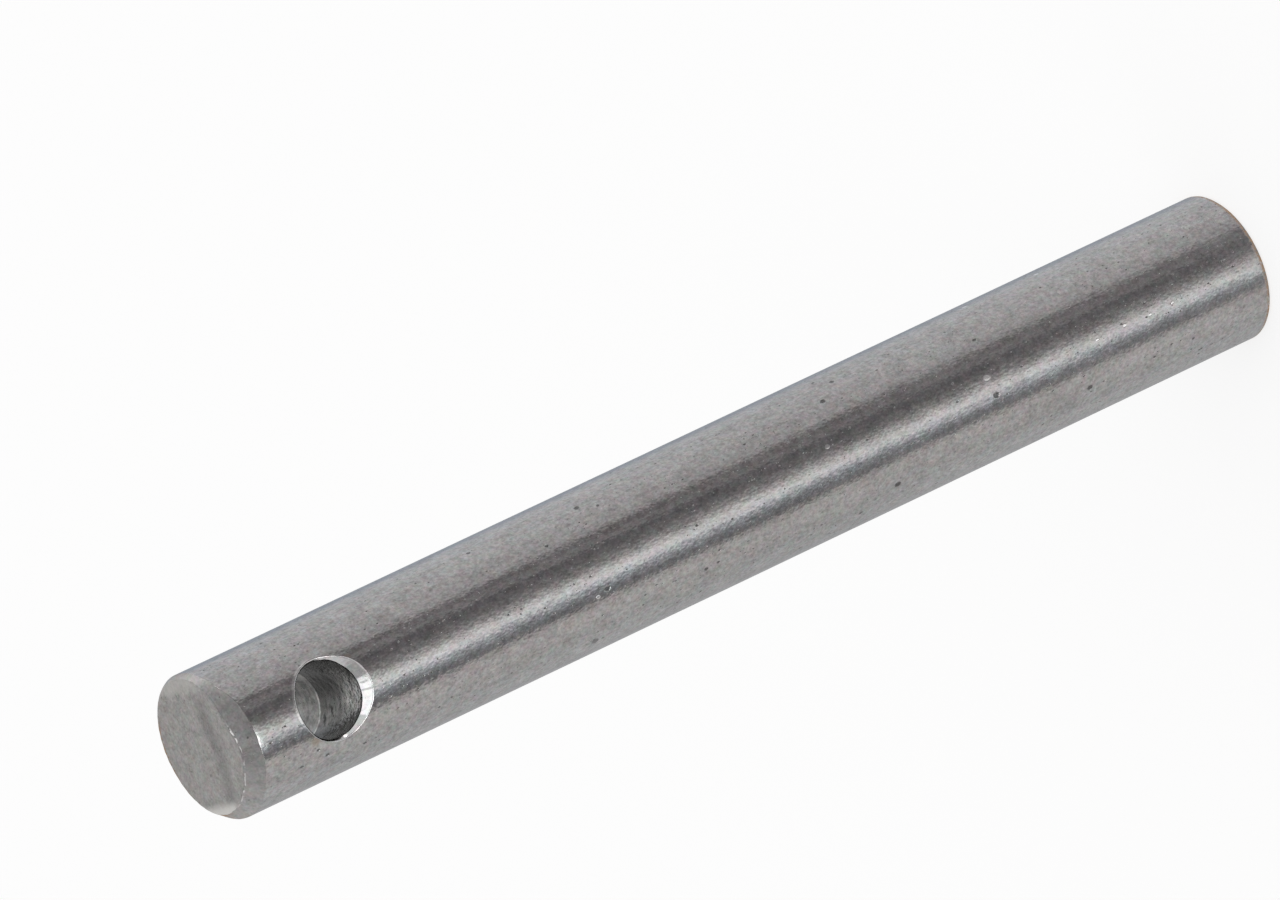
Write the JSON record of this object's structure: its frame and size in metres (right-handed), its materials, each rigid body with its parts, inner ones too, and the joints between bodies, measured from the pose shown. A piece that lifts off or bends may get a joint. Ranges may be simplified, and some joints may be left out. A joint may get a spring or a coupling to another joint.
{
  "type": "shear bolt",
  "caption": "Plain round steel shear bolt: square-cut at one end, chamfered at the other, with a countersunk cross hole for a split pin.",
  "frame": {"origin": "centre of the plain, square-cut end face, on which the bolt stands", "axes": "+Z along the bolt from the plain end to the chamfered end; the cross hole runs along Y"},
  "size_m": [0.01, 0.01, 0.083],
  "materials": {
    "drawn_steel": "bright-drawn mild steel, fine pitted grain, slight rust at the end rims"
  },
  "bodies": {
    "root": {"shear_bolt": "drawn_steel"}
  },
  "joints": []
}
